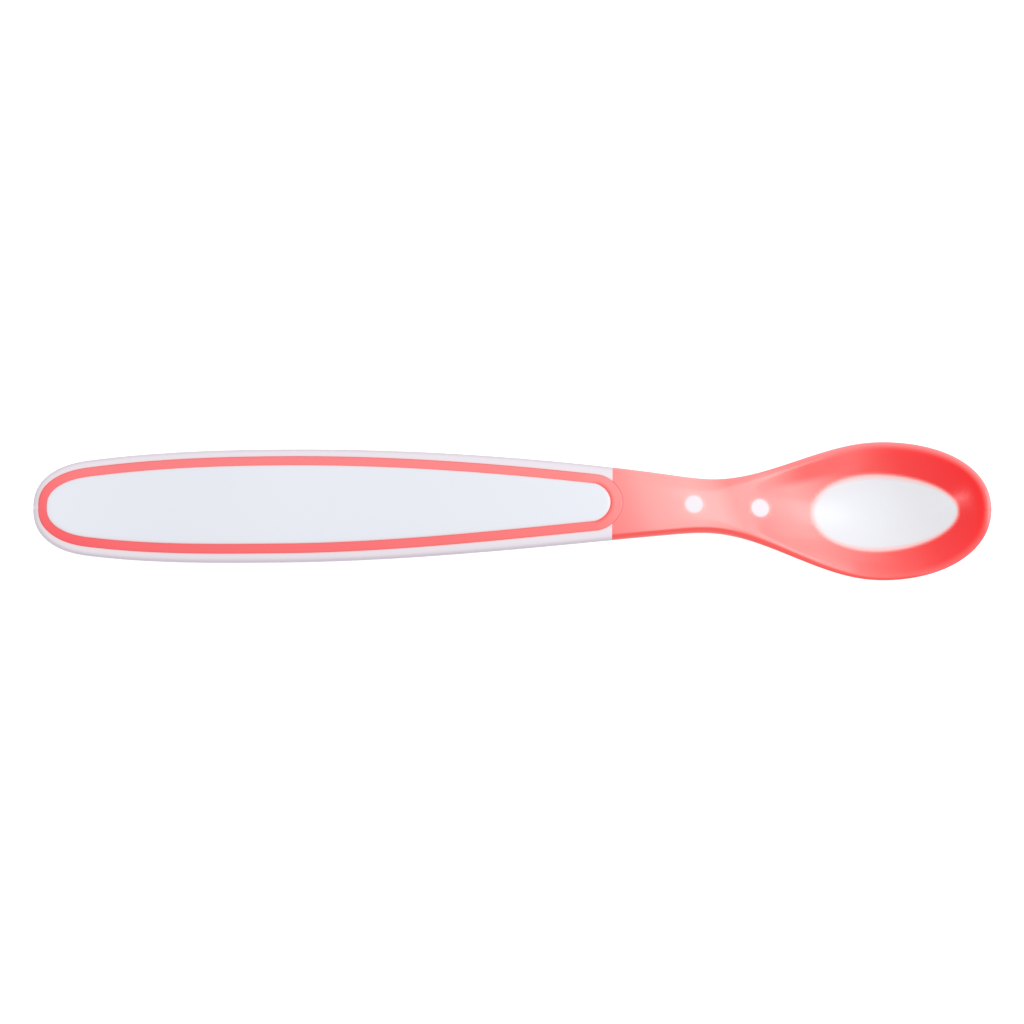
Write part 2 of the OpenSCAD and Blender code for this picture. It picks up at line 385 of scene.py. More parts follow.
# %% The first ring, squared
clear_bench()
bpy.ops.mesh.primitive_circle_add(
    vertices=RING_POINTS, radius=MM, fill_type="NGON",
    location=on_side_line(0), rotation=(0, math.pi / 2, 0),
)
spoon_form = settle("spoon_form")
edit(spoon_form)
middle = side_z(0) * MM
squarer = 2 / SECTION_POWER - 1
ring_turns = quarter_turns(RING_POINTS // 4)
for turn in ring_turns[1:]:
    out, up = MM * math.cos(turn), MM * math.sin(turn)
    pick_points(lambda p: abs(abs(p.y) - out) < TINY and abs(abs(p.z - middle) - up) < TINY)
    bpy.ops.transform.resize(
        value=(1, math.cos(turn) ** squarer, math.sin(turn) ** squarer),
        center_override=on_side_line(0),
    )
print("squared", len(ring_turns) - 1, "points of each quarter")

# %% Its width, crown and keel
pick_points(lambda p: True)
bpy.ops.transform.resize(value=(1, body_half(0), 1), center_override=on_side_line(0))
for side, share in ((1, CROWN_SHARE), (-1, 1 - CROWN_SHARE)):
    pick_points(lambda p: side * (p.z - middle) > TINY)
    bpy.ops.transform.resize(
        value=(1, 1, share * thickness(0)), center_override=on_side_line(0)
    )
print("tail end", round(thickness(0), 3), "mm thick before the rings widen it")

# %% Extrude ring by ring to the tip
pick_points(lambda p: True)
for here, there in zip(stations, stations[1:]):
    move = ((there - here) * MM, 0, (side_z(there) - side_z(here)) * MM)
    bpy.ops.mesh.extrude_region_move(TRANSFORM_OT_translate={"value": move})
    wider = body_half(there) / body_half(here)
    thicker = thickness(there) / thickness(here)
    bpy.ops.transform.resize(
        value=(1, wider, thicker), center_override=on_side_line(there)
    )
print("blank:", len(bmesh.from_edit_mesh(spoon_form.data).verts), "points")

# %% [markdown]
# ## Pressing the bowl
# The blank is now straight through the bowl. Its underside is drawn down into a
# belly, and then its top is pressed into the hollow, one mirrored pair of points
# at a time. The belly comes first: until the top is pressed, all that is above
# the side line is top.

# %% Draw the belly, then press the hollow
FORM_LEVELS = 2


def press(side, depth):
    """Moves the points over (1) or under (-1) the side line down by a depth."""
    for s in stations:
        if s <= NECK_AT:
            continue
        for turn in ring_turns[1:] + [math.pi / 2]:
            y = body_half(s) * max(0, math.cos(turn)) ** (2 / SECTION_POWER)
            down = depth(s, y) * MM
            if down < TINY:
                continue
            line = side_z(s) * MM
            pick_points(
                lambda p: abs(p.x - x_of(s)) < TINY
                and abs(abs(p.y) - y * MM) < TINY
                and side * (p.z - line) > 0
            )
            bpy.ops.transform.translate(value=(0, 0, -down))


press(-1, belly)
press(1, hollow)
face_outwards(spoon_form)
modify(spoon_form, "SUBSURF", levels=FORM_LEVELS, render_levels=FORM_LEVELS)
print("form:", len(spoon_form.data.polygons), "faces", tuple(spoon_form.dimensions))

# %% [markdown]
# ## Flat outlines laid on the form
# The panel, the ring, the window and the two dots all have a clean rounded
# outline and a top that follows the spoon. Each starts as a circle as long as
# the piece. Its points are moved in or out to the outline, pair by pair, its two
# sides are bridged with rows of faces, and the flat sheet is dropped from well
# above onto the form with a Shrinkwrap modifier. Outlines drawn by hand on the
# form itself would be ragged.

# %% A circle pulled to an outline
OUTLINE_POINTS = 160
ABOVE = 30 * MM


def outline_places(start, end):
    """Where the pairs of a circle's points lie along the spoon, and how far out."""
    radius = (end - start) / 2
    turns = [math.pi * (i + 0.5) * 2 / OUTLINE_POINTS for i in range(OUTLINE_POINTS // 2)]
    return [(start + radius * (1 - math.cos(t)), radius * math.sin(t)) for t in turns]


def add_outline(start, end, half, height=ABOVE):
    """Adds a circle from start to end, and pulls it to half the width at each place."""
    bpy.ops.mesh.primitive_circle_add(
        vertices=OUTLINE_POINTS, radius=(end - start) / 2 * MM,
        location=(x_of((start + end) / 2), 0, height),
        rotation=(0, 0, math.pi / OUTLINE_POINTS),
    )
    if bpy.context.object.mode == "OBJECT":
        settle("outline")
        edit(bpy.context.object)
    for s, out in outline_places(start, end):
        pick_points(lambda p: abs(p.x - x_of(s)) < TINY and abs(p.z - height) < TINY)
        bpy.ops.transform.resize(
            value=(1, half(s) / out, 1), center_override=(x_of(s), 0, height)
        )


# %% A sheet with rows of faces across it
THROUGH = 60


def outline_sheet(name, start, end, half, rows):
    """A flat sheet over the form, with the outline that half gives."""
    clear_bench()
    add_outline(start, end, half)
    sheet = bpy.context.object
    sheet.name = name
    pick_edges(lambda a, b: a.y * b.y > 0)
    bpy.ops.mesh.bridge_edge_loops(number_cuts=rows, interpolation="LINEAR")
    face_outwards(sheet)
    return sheet


def lay_on_form(sheet):
    """Drops a sheet straight down onto the form."""
    modify(
        sheet, "SHRINKWRAP", target=spoon_form, wrap_method="PROJECT",
        use_project_z=True, use_negative_direction=True, use_positive_direction=False,
    )


def thicken_down(sheet, depth):
    """Gives a sheet walls and an underside, straight down."""
    edit(sheet)
    bpy.ops.mesh.select_all(action="SELECT")
    bpy.ops.mesh.extrude_region_move(TRANSFORM_OT_translate={"value": (0, 0, -depth * MM)})
    face_outwards(sheet)


def level_underside(sheet, floor):
    """Lifts what lies under a floor line onto that line, one cross row at a time."""
    rows = sorted({round(v.co.x / TINY) for v in sheet.data.vertices})
    edit(sheet)
    for row in rows:
        line = floor(row * TINY / MM + SPOON_LENGTH / 2) * MM
        pick_points(lambda p: round(p.x / TINY) == row and p.z < line)
        bpy.ops.transform.resize(value=(1, 1, 0), center_override=(row * TINY, 0, line))
    clear_bench()


print("outlines of", OUTLINE_POINTS, "points")

# %% [markdown]
# ## The panel, the ring and their pocket
# In the real handle a pocket is moulded in the white core, the coral ring lines
# its edge, and a smooth white panel fills the middle and stands a little proud.
# The pocket is a solid with the ring's outer outline, made deep enough to go
# right through the spoon and then levelled underneath. It is used only to cut.

# %% Outlines of the inlay
def band(s):
    """Width of the white band between the handle's side and the ring."""
    return blend(SIDE_BAND, FRONT_BAND, (s - WIDEST_AT) / (SKIN_START - WIDEST_AT))


def inlay_half(s, inset, start, end, nose):
    """Half the width of an outline that lies an inset inside the white band."""
    tail = round_end((s - start) / (TAIL_ROUND - start), TAIL_POWER)
    return (side_half(s) - band(s) - inset) * tail * round_end((end - s) / nose, 2)


def ring_half(s):
    """Half the width of the ring's outer outline."""
    return inlay_half(s, 0, TAIL_BAND, RING_END, RING_NOSE)


def panel_half(s, inset=0):
    """Half the panel's width, or that of the outline that lies further in."""
    ends = (PANEL_START + inset, PANEL_END - inset, PANEL_NOSE - inset)
    return inlay_half(s, RING_WIDTH + inset, *ends)


def pocket_floor(s):
    """Height of the pocket's floor, a set depth under the crown."""
    return side_z(s) + CROWN_SHARE * thickness(max(s, END_EDGE)) - POCKET_DEPTH


print("ring outline at the widest place:", round(ring_half(WIDEST_AT), 2), "mm out")

# %% The pocket's cutting solid
pocket = outline_sheet("pocket", TAIL_BAND, RING_END, ring_half, 0)
thicken_down(pocket, THROUGH)
level_underside(pocket, pocket_floor)
print("pocket:", len(pocket.data.polygons), "faces")

# %% [markdown]
# The panel's top stands 0.2 mm over the ring and rolls down to it over the last
# 0.8 mm. So its sheet is made of outlines one inside the other, bridged in turn,
# with rows of faces only in the innermost, and each outline is lifted by itself.

# %% The white panel's sheet
PANEL_INSETS = (0, 0.03, 0.1, 0.25, 0.5, PANEL_EDGE)
WIDE_ROWS = 15
clear_bench()
for i, inset in enumerate(PANEL_INSETS):
    ends = (PANEL_START + inset, PANEL_END - inset)
    if i > 0:
        bpy.ops.mesh.select_mode(type="VERT")
    add_outline(*ends, lambda s: panel_half(s, inset), ABOVE + i * MM)
panel = bpy.context.object
panel.name = "white_panel"
for i in range(len(PANEL_INSETS) - 1):
    lower, upper = ABOVE + i * MM, ABOVE + (i + 1) * MM
    pick_edges(lambda a, b: min(a.z, b.z) > lower - TINY and max(a.z, b.z) < upper + TINY)
    bpy.ops.mesh.bridge_edge_loops(interpolation="LINEAR")
pick_edges(lambda a, b: min(a.z, b.z) > upper - TINY and a.y * b.y > 0)
bpy.ops.mesh.bridge_edge_loops(number_cuts=WIDE_ROWS, interpolation="LINEAR")
face_outwards(panel)
lay_on_form(panel)
print("panel sheet:", len(panel.data.polygons), "faces")

# %% Lift it outline by outline, then give it its depth
INLAY_DEPTH = 3
SLACK_ALONG = 0.01
SLACK_ACROSS = 0.001


def panel_inset_is(point, inset):
    """Whether a point is on or within the outline that lies an inset further in."""
    s = point.x / MM + SPOON_LENGTH / 2
    within = PANEL_START + inset - SLACK_ALONG < s < PANEL_END - inset + SLACK_ALONG
    return within and abs(point.y) < (panel_half(s, inset) + SLACK_ACROSS) * MM


lifted = 0
edit(panel)
for inset in PANEL_INSETS[1:]:
    pick_points(lambda p: panel_inset_is(p, inset))
    height = PANEL_RISE * round_end(inset / PANEL_EDGE, 2)
    bpy.ops.transform.translate(value=(0, 0, (height - lifted) * MM))
    lifted = height
clear_bench()
thicken_down(panel, INLAY_DEPTH)
level_underside(panel, pocket_floor)
print("panel:", len(panel.data.polygons), "faces")

# %% [markdown]
# The ring is two outlines, one in the other, bridged with a few loops so that
# it can follow the crown of the handle. Both edges are bevelled: that leaves the
# fine groove that shows where two mouldings meet.

# %% The coral ring
RING_LOOPS = 4
SEAM = 0.16
SEAM_SEGMENTS = 3
SHARP = math.radians(50)


def soften_edges(piece, width, segments):
    """Bevels the edges that turn by more than the sharp angle."""
    modify(
        piece, "BEVEL", width=width * MM, segments=segments,
        limit_method="ANGLE", angle_limit=SHARP,
    )


clear_bench()
add_outline(TAIL_BAND, RING_END, ring_half)
bpy.ops.mesh.select_mode(type="VERT")
add_outline(PANEL_START, PANEL_END, panel_half, ABOVE + MM)
ring = bpy.context.object
ring.name = "coral_ring"
bpy.ops.mesh.select_all(action="SELECT")
bpy.ops.mesh.bridge_edge_loops(number_cuts=RING_LOOPS, interpolation="LINEAR")
face_outwards(ring)
lay_on_form(ring)
thicken_down(ring, INLAY_DEPTH)
level_underside(ring, pocket_floor)
soften_edges(ring, SEAM, SEAM_SEGMENTS)
print("ring:", len(ring.data.polygons), "faces")

# %% [markdown]
# ## What reaches through the skin
# A white pad of the core fills the window in the bowl, and two bosses of the
# core show as white dots on the neck. Each is made twice: once to be part of the
# core, with a softened edge, and once taller, to cut its hole in the skin. An
# extrude leaves the new underside selected, so the top is what Invert then picks.

# %% The outlines of the window and the bosses
LEAST_HALF = 0.001


def window_half(s):
    """Half the width of the window, which is blunter at its heel than in front."""
    heel = round_end((s - WINDOW_START) / WINDOW_HEEL, 2)
    front = (WINDOW_END - s) / (WINDOW_END - WINDOW_START - WINDOW_HEEL)
    return WINDOW_WIDTH / 2 * heel * round_end(front, WINDOW_POWER)


def boss_half(place, s):
    """Half the width of the round boss whose middle is at a place."""
    return math.sqrt(max(LEAST_HALF**2, BOSS_RADIUS**2 - (s - place) ** 2))


print("window", round(2 * window_half(WINDOW_START + WINDOW_HEEL), 2), "mm wide")

# %% The window pad and the two bosses
PLUG_DEPTH = 1.1
PLUG_RAISE = 5
BOSS_ROWS = 9


def make_plug(name, start, end, half, rows):
    """One plug for the core, and one with a raised top to cut the skin with."""
    plug = outline_sheet(name, start, end, half, rows)
    lay_on_form(plug)
    room = copy_of(plug, name + "_room")
    thicken_down(plug, PLUG_DEPTH)
    edit(room)
    bpy.ops.mesh.select_all(action="SELECT")
    bpy.ops.mesh.extrude_region_move(TRANSFORM_OT_translate={"value": (0, 0, -PLUG_DEPTH * MM)})
    bpy.ops.mesh.select_all(action="INVERT")
    bpy.ops.transform.translate(value=(0, 0, PLUG_RAISE * MM))
    face_outwards(room)
    return plug, room


plugs = [make_plug("window", WINDOW_START, WINDOW_END, window_half, WIDE_ROWS)]
for place in BOSS_PLACES:
    ends = (place - BOSS_RADIUS, place + BOSS_RADIUS)
    plugs.append(make_plug("boss", *ends, partial(boss_half, place), BOSS_ROWS))
print(len(plugs), "plugs")

# %% [markdown]
# ## The stem and plate inside the skin
# The core goes on inside the neck and bowl, a skin's thickness under the
# surface. A copy of the form is shrunk along its normals by that thickness, and
# only what lies inside the plate's outline is kept. The stem begins a little way
# back in the handle, so that the two are joined by a thick root.

# %% The stem and plate
STEM_ROOT = 3


def plate_half(s):
    """Half the width of the stem and plate."""
    if s < BOWL_AT:
        beside = blend(SIDE_SKIN, SOFT_LIP, (s - NECK_AT) / (BOWL_AT - NECK_AT))
        return body_half(s) - beside
    front = (PLATE_END - s) / (PLATE_END - BOWL_AT)
    return (BOWL_WIDTH / 2 - SOFT_LIP) * round_end(front, 2)


stem_start = SKIN_START - STEM_ROOT
plate_room = outline_sheet("plate_room", stem_start, PLATE_END, plate_half, 0)
thicken_down(plate_room, THROUGH)
stem_plate = copy_of(spoon_form, "stem_plate")
edit(stem_plate)
bpy.ops.mesh.select_all(action="SELECT")
bpy.ops.transform.shrink_fatten(value=-SKIN_THICKNESS * MM)
clear_bench()
combine(stem_plate, plate_room, "INTERSECT")
print("stem and plate:", len(stem_plate.data.polygons), "faces")

# %% [markdown]
# ## The core and the skin
# Both are copies of the form, cut apart at a straight line across the neck end
# of the handle. The handle is also cut level under its tail, where the spoon
# rests. The core gets its stem, pad and bosses joined on and its pocket cut out.
# The skin loses all that the core fills.

# %% Cut the form in two
CUT_PRECISION = 1e-7


def cut_off(piece, place, normal):
    """Cuts a piece with a plane, drops what lies beyond it and closes the cut."""
    edit(piece)
    bpy.ops.mesh.select_all(action="SELECT")
    bpy.ops.mesh.bisect(
        plane_co=place, plane_no=normal, clear_outer=True, use_fill=True,
        threshold=CUT_PRECISION,
    )
    face_outwards(piece)


parting = (x_of(SKIN_START), 0, 0)
core = copy_of(spoon_form, "white_core")
cut_off(core, parting, (1, 0, 0))
cut_off(core, (0, 0, 0), (0, 0, -1))
skin = copy_of(spoon_form, "coral_skin")
cut_off(skin, parting, (-1, 0, 0))
print("handle:", len(core.data.polygons), "faces, skin:", len(skin.data.polygons))

# %% Join and cut
PAD_EDGE = 0.06
PAD_SEGMENTS = 2
combine(core, stem_plate, "UNION")
combine(core, pocket, "DIFFERENCE")
combine(skin, stem_plate, "DIFFERENCE")
combine(skin, pocket, "DIFFERENCE")
for plug, room in plugs:
    combine(skin, room, "DIFFERENCE")
    soften_edges(plug, PAD_EDGE, PAD_SEGMENTS)
    combine(core, plug, "UNION")
print("core:", len(core.data.polygons), "faces, skin:", len(skin.data.polygons))

# %% Put the cutting solids away
leftovers = [spoon_form, pocket, plate_room, stem_plate]
leftovers += [piece for pair in plugs for piece in pair]
for piece in leftovers:
    take(piece)
    bpy.ops.object.delete()
print("deleted", len(leftovers), "cutting solids")

# %% Smooth the surfaces, keeping the edges of the cuts
SMOOTH_UNDER = math.radians(32)
for piece in (core, skin, ring, panel):
    take(piece)
    bpy.ops.object.shade_smooth_by_angle(angle=SMOOTH_UNDER)
    low = [min(v.co[i] for v in piece.data.vertices) / MM for i in range(3)]
    high = [max(v.co[i] for v in piece.data.vertices) / MM for i in range(3)]
    print(piece.name, [round(v, 2) for v in low], [round(v, 2) for v in high])

# %% [markdown]
# ## Painted shares
# Neither the coral nor the white is one even colour. Both could be painted by
# hand in Vertex Paint. Here a share is worked out for each point instead, mostly
# from how far it lies from an outline, so that it follows the outlines exactly.
# The materials read the shares and lay a colour over the piece as strongly as they say. Several
# shares paint shade, and one paints a highlight, as said where each is made. The near side is the
# one with y below 0.

# %% How far a point is from an outline, seen from above
OUTLINE_STEPS = 1200
BOSS_STEPS = 40


def points_along(start, end, half, steps=OUTLINE_STEPS):
    """The places of an outline, closest together at its round ends."""
    turns = [math.pi * i / steps for i in range(steps + 1)]
    places = [start + (end - start) * (1 - math.cos(t)) / 2 for t in turns]
    return [(x_of(s), side * half(s) * MM, 0) for s in places for side in (-1, 1)]


def as_tree(places):
    """Places sorted so that the nearest one is found quickly."""
    tree = KDTree(len(places))
    for i, place in enumerate(places):
        tree.insert(place, i)
    tree.balance()
    return tree


def away_from(tree, point):
    """The distance to the nearest place, in millimetres."""
    return tree.find((point.x, point.y, 0))[2] / MM


# %% Outlines that the shares are measured from
rim = as_tree(points_along(SKIN_START, SPOON_LENGTH, side_half))
handle_edge = as_tree(points_along(0, SHOULDER_AT, body_half))
panel_outline = points_along(PANEL_START, PANEL_END, panel_half)
panel_edge = as_tree(panel_outline)
white_outlines = points_along(WINDOW_START, WINDOW_END, window_half)
for place in BOSS_PLACES:
    ends = (place - BOSS_RADIUS, place + BOSS_RADIUS)
    white_outlines += points_along(*ends, partial(boss_half, place), BOSS_STEPS)
whites = as_tree(white_outlines)
ring_outline = points_along(TAIL_BAND, RING_END, ring_half)
seam_places = white_outlines + panel_outline + ring_outline
seams = as_tree(seam_places)
print(len(seam_places), "places along the seams")

# %% Where a point lies, in millimetres
ON_TOP_SLACK = 0.1


def along(p):
    """Its place along the spoon."""
    return p.x / MM + SPOON_LENGTH / 2


def across(p):
    """How far it lies out to the far side, or below 0 to the near one."""
    return p.y / MM


def on_top(p):
    """Whether it is on the upper side, with the hollow and the pad in it."""
    return p.z / MM > side_z(along(p)) - hollow(along(p), across(p)) - ON_TOP_SLACK


# %% How a share comes and goes
def rise(x, start, span):
    """0 up to the start, and 1 from a span after it."""
    return ease((x - start) / span)


def fall(x, start, span):
    """1 up to the start, and 0 from a span after it."""
    return 1 - rise(x, start, span)


def fade(away, reach):
    """1 at an outline, and quickly less towards its reach."""
    return max(0, 1 - away / reach) ** 2


def paint(piece, name, share):
    """Stores a share on each point of a piece, worked out from its place."""
    layer = piece.data.attributes.new(name, "FLOAT", "POINT")
    values = [share(v.co) for v in piece.data.vertices]
    layer.data.foreach_set("value", values)
    print(piece.name, name, "from", round(min(values), 2), "to", round(max(values), 2))


# %% [markdown]
# ### The skin's shares
# The lip's upper edge is thin and looks pale. That pale edge is partly a painted highlight where
# it catches the light, less so on the near side. Down the sides the rubber goes round the core,
# and shows as a deep strip: a clear one on the near side, a hair line on the far one. The strips
# are partly painted shade, since the near side faces away from the key light. Each value pair says
# where along or across the spoon a share starts to come or go, and over what span, in millimetres.

# %% The lip's pale edge, partly a painted highlight
LIP_REACH = 1.5
LIP_RISE = 0.4
LIP_COMES = (NECK_AT, 20)
NEAR_LIP_LOSS = 0.6
NEAR_LIP_GOES = (0, 4)


def lip_painted_highlight(p):
    """1 along the upper edge of the lip, whose pale colour is partly a painted highlight."""
    s = along(p)
    over = rise(p.z / MM - side_z(s), -LIP_RISE / 2, LIP_RISE)
    near_side = 1 - NEAR_LIP_LOSS * rise(-across(p), *NEAR_LIP_GOES)
    edge = fall(away_from(rim, p), 0, LIP_REACH)
    return over * near_side * edge * rise(s, *LIP_COMES)


paint(skin, "lip", lip_painted_highlight)

# %% The deep strips along the sides, partly painted shade
NEAR_STRIP = 0.82
NEAR_STRIP_LOSS = 0.32
NEAR_STRIP_NARROWS = (118, 30)
NEAR_STRIP_GOES = (146, 6)
FAR_STRIP = 0.22
FAR_STRIP_GOES = (124, 10)
STRIP_SOFTNESS = 0.35
FULL_STRIP = 0.4
NEAR_WALL = 0.35
NEAR_WALL_ACROSS = (7.5, 2)
NEAR_WALL_COMES = (136, 2.5)
NEAR_WALL_GOES = (146, 4)


def strip_width(p):
    """Width of the strip on a point's side of the spoon."""
    s = along(p)
    if p.y < 0:
        narrower = NEAR_STRIP_LOSS * rise(s, *NEAR_STRIP_NARROWS)
        return (NEAR_STRIP - narrower) * fall(s, *NEAR_STRIP_GOES)
    return FAR_STRIP * fall(s, *FAR_STRIP_GOES)


def side_painted_shade(p):
    """1 in the deep strips, which are partly painted shade, where a thin one is fainter, and a
    little on the near wall.
    """
    width = strip_width(p)
    strip = fall(away_from(rim, p), width - STRIP_SOFTNESS / 2, STRIP_SOFTNESS)
    strip *= min(1, width / FULL_STRIP)
    if not on_top(p):
        return strip
    s = along(p)
    wall = rise(-across(p), *NEAR_WALL_ACROSS)
    wall *= rise(s, *NEAR_WALL_COMES) * fall(s, *NEAR_WALL_GOES)
    return max(strip, NEAR_WALL * wall)


paint(skin, "side", side_painted_shade)

# %% [markdown]
# In the heel of the bowl the white plate lies under the middle only, so the middle looks pale and
# the walls beside it stay deep. On the far wall that deep colour is also painted shade, where the
# rim shades the wall, and the near wall gets a little of the deep colour. Round the window and the
# dots the skin thins out to nothing, which gives each of them a pale halo.

# %% The deep walls of the heel, partly painted shade
PLATE_EDGE_AT = 122.7
PLATE_EDGE_OUT = 3.3
PLATE_SPREAD = 0.27
FAR_WALL_SOFTNESS = 1.5
NEAR_HEEL = 0.25
NEAR_HEEL_ACROSS = (3.5, 2)
HEEL_COMES = (120, 10)
HEEL_GOES = (134, 8)


def heel_wall_depth_and_shade(p):
    """1 on the walls of the heel that the plate doesn't reach, less on the near one; on the far
    wall it is partly painted shade.
    """
    if not on_top(p):
        return 0
    s = along(p)
    plate_edge = PLATE_EDGE_OUT + PLATE_SPREAD * (s - PLATE_EDGE_AT)
    far = rise(across(p) - plate_edge, -FAR_WALL_SOFTNESS / 2, FAR_WALL_SOFTNESS)
    near = NEAR_HEEL * rise(-across(p), *NEAR_HEEL_ACROSS)
    return max(far, near) * rise(s, *HEEL_COMES) * fall(s, *HEEL_GOES)


paint(skin, "wall", heel_wall_depth_and_shade)

# %% The pale halo of the window and the dots
HALO_REACH = 0.6
HALO_AT_HEEL = 0.45
HALO_GROWTH = 4
HALO_NARROWEST = 0.6


def halo_share(p):
    """1 at the front of the window, less at its heel and round the dots."""
    if not on_top(p):
        return 0
    strength = blend(HALO_AT_HEEL, 1, (along(p) - WINDOW_START) / HALO_GROWTH)
    reach = HALO_REACH * (HALO_NARROWEST + (1 - HALO_NARROWEST) * strength)
    return strength * fade(away_from(whites, p), reach)


paint(skin, "halo", halo_share)

# %% [markdown]
# ### The shares of the white pieces and the ring
# White plastic takes up the colour of what it lies beside, so it blushes along every seam with the
# coral, and more widely at the heel of the window. The handle's rounded edge is painted greyer
# than its top: painted shade. The panel stands proud of the ring, and beside its front end the
# ring is painted darker: painted shade.

# %% The white's blush beside the coral
BLUSH_REACH = 0.35
HEEL_REACH = 1.1
HEEL_BLUSH_COMES = (WINDOW_START - 0.1, 0.1)
HEEL_BLUSH_GOES = (WINDOW_START, 4)


def blush_share(p):
    """1 beside the coral, and further from it at the window's heel."""
    if not on_top(p):
        return 0
    away = away_from(seams, p)
    heel = rise(along(p), *HEEL_BLUSH_COMES) * fall(along(p), *HEEL_BLUSH_GOES)
    return max(fade(away, BLUSH_REACH), heel * fall(away, 0, HEEL_REACH))


paint(core, "blush", blush_share)
paint(panel, "blush", blush_share)

# %% Painted shade on the handle's edge and on the ring beside the panel's front end
EDGE_REACH = 0.7
NOSE_REACH = 0.75
NOSE_COMES = (93, 2)


def edge_painted_shade(p):
    """1 at the handle's outline, where it paints a greyer shade."""
    return fall(away_from(handle_edge, p), 0, EDGE_REACH)


def nose_painted_shade(p):
    """1 beside the panel's front end, where it paints shade on the ring."""
    return fall(away_from(panel_edge, p), 0, NOSE_REACH) * rise(along(p), *NOSE_COMES)


paint(core, "edge", edge_painted_shade)
paint(ring, "nose", nose_painted_shade)

# %% [markdown]
# ## Materials
# Colours are written as the sRGB hex values that a paint program shows, and one
# function turns them to the linear values that Blender works in. A second adds
# any node with its settings and links. A third lays colours over a piece where
# its shares were painted.

# %% Colours and a node at a time
def colour(hex_text):
    """A linear colour from an sRGB hex value."""
    shares = [int(hex_text[i : i + 2], 16) / 255 for i in (1, 3, 5)]
    linear = [c / 12.92 if c <= 0.04045 else ((c + 0.055) / 1.055) ** 2.4 for c in shares]
    return (*linear, 1)


def add_node(tree, kind, inputs=None, **settings):
    """Adds a node with its settings. An input is a value, or another node's output."""
    made = tree.nodes.new(kind)
    for name, value in settings.items():
        setattr(made, name, value)
    for name, value in (inputs or {}).items():
        if isinstance(value, bpy.types.NodeSocket):
            tree.links.new(value, made.inputs[name])
        else:
            made.inputs[name].default_value = value
    return made


def new_material(name):
    """A material with only its Principled shader and output."""
    material = bpy.data.materials.new(name)
    material.use_nodes = True
    tree = material.node_tree
    return material, tree, tree.nodes["Principled BSDF"]


# %% Colours laid over one another
# A Mix node has sockets for every kind of value. These are the ones for colours.
MIX_SHARE = 0
MIX_UNDER = 6
MIX_OVER = 7
MIXED = 2


def stain(tree, tint, stains):
    """Lays each colour over the tint, as strongly as the share of its name says."""
    for name, hex_text in stains:
        share = add_node(tree, "ShaderNodeAttribute", attribute_name=name).outputs["Fac"]
        mix = add_node(
            tree, "ShaderNodeMix",
            {MIX_SHARE: share, MIX_UNDER: tint, MIX_OVER: colour(hex_text)}, data_type="RGBA",
        )
        tint = mix.outputs[MIXED]
    return tint


# %% [markdown]
# ### Moulded white polypropylene
# The core is injection-moulded polypropylene: a slightly milky white with a
# satin gloss, since the steel mould was polished but not to a mirror. The eye
# reads it by soft, broad highlights with a very faint orange-peel in them, whose
# waves are about a millimetre wide. The plastic flowed in from one end, so its
# gloss also drifts a little over a few millimetres. The panel is a separate
# moulding from a better polished tool, a little bluer and glossier.

# %% The white plastic's gloss and peel
POLYPROPYLENE_IOR = 1.49
FLOW_WIDTH = 6.25
FLOW_SPREAD = 0.04
PEEL_WIDTH = 1.11
PEEL_DEPTH = 0.05
PEEL_STRENGTH = 0.06


def white_plastic(name, roughness):
    """The plastic before it has a tint: material, nodes, colour socket and place."""
    material, tree, shader = new_material(name)
    place = add_node(tree, "ShaderNodeTexCoord").outputs["Object"]
    flow = add_node(
        tree, "ShaderNodeTexNoise",
        {"Vector": place, "Scale": 1 / (FLOW_WIDTH * MM), "Detail": 2.0},
    )
    ends = {"To Min": roughness - FLOW_SPREAD, "To Max": roughness + FLOW_SPREAD}
    gloss = add_node(tree, "ShaderNodeMapRange", {"Value": flow.outputs["Fac"], **ends})
    peel = add_node(
        tree, "ShaderNodeTexNoise",
        {"Vector": place, "Scale": 1 / (PEEL_WIDTH * MM), "Detail": 1.0},
    )
    bump = add_node(
        tree, "ShaderNodeBump",
        {"Strength": PEEL_STRENGTH, "Distance": PEEL_DEPTH * MM, "Height": peel.outputs["Fac"]},
    )
    shader.inputs["IOR"].default_value = POLYPROPYLENE_IOR
    tree.links.new(gloss.outputs["Result"], shader.inputs["Roughness"])
    tree.links.new(bump.outputs["Normal"], shader.inputs["Normal"])
    return material, tree, shader.inputs["Base Color"], place


# %% The panel
PANEL_ROUGHNESS = 0.32
BLUSH_STAIN = ("blush", "#FFC6C4")
panel_white, tree, base, place = white_plastic(
    "white_polypropylene_polished_panel", PANEL_ROUGHNESS
)
tree.links.new(stain(tree, colour("#E9ECF4"), [BLUSH_STAIN]), base)
print(panel_white.name, "has", len(tree.nodes), "nodes")

# %% [markdown]
# The core is seen as the handle's band and underside and as the pad in the bowl.
# The band is a warm white and the pad a cooler one. The tint turns from one to
# the other on the way from the last dot to the pad, where the skin hides it.

# %% The core
CORE_ROUGHNESS = 0.38
PAD_TINT_FROM = 122
PAD_TINT_FULL = 130
core_white, tree, base, place = white_plastic(
    "white_polypropylene_satin_moulded", CORE_ROUGHNESS
)
axis = add_node(tree, "ShaderNodeSeparateXYZ", {"Vector": place})
ends = {"From Min": x_of(PAD_TINT_FROM), "From Max": x_of(PAD_TINT_FULL)}
forward = add_node(tree, "ShaderNodeMapRange", {"Value": axis.outputs["X"], **ends})
under, over = colour("#EEE7EF"), colour("#EBF1F6")
mix = add_node(
    tree, "ShaderNodeMix",
    {MIX_SHARE: forward.outputs["Result"], MIX_UNDER: under, MIX_OVER: over}, data_type="RGBA",
)
# The edge stain is painted shade on the handle's rounded edge.
tint = stain(tree, mix.outputs[MIXED], [("edge", "#D6C9D6"), BLUSH_STAIN])
tree.links.new(tint, base)
print(core_white.name, "has", len(tree.nodes), "nodes")
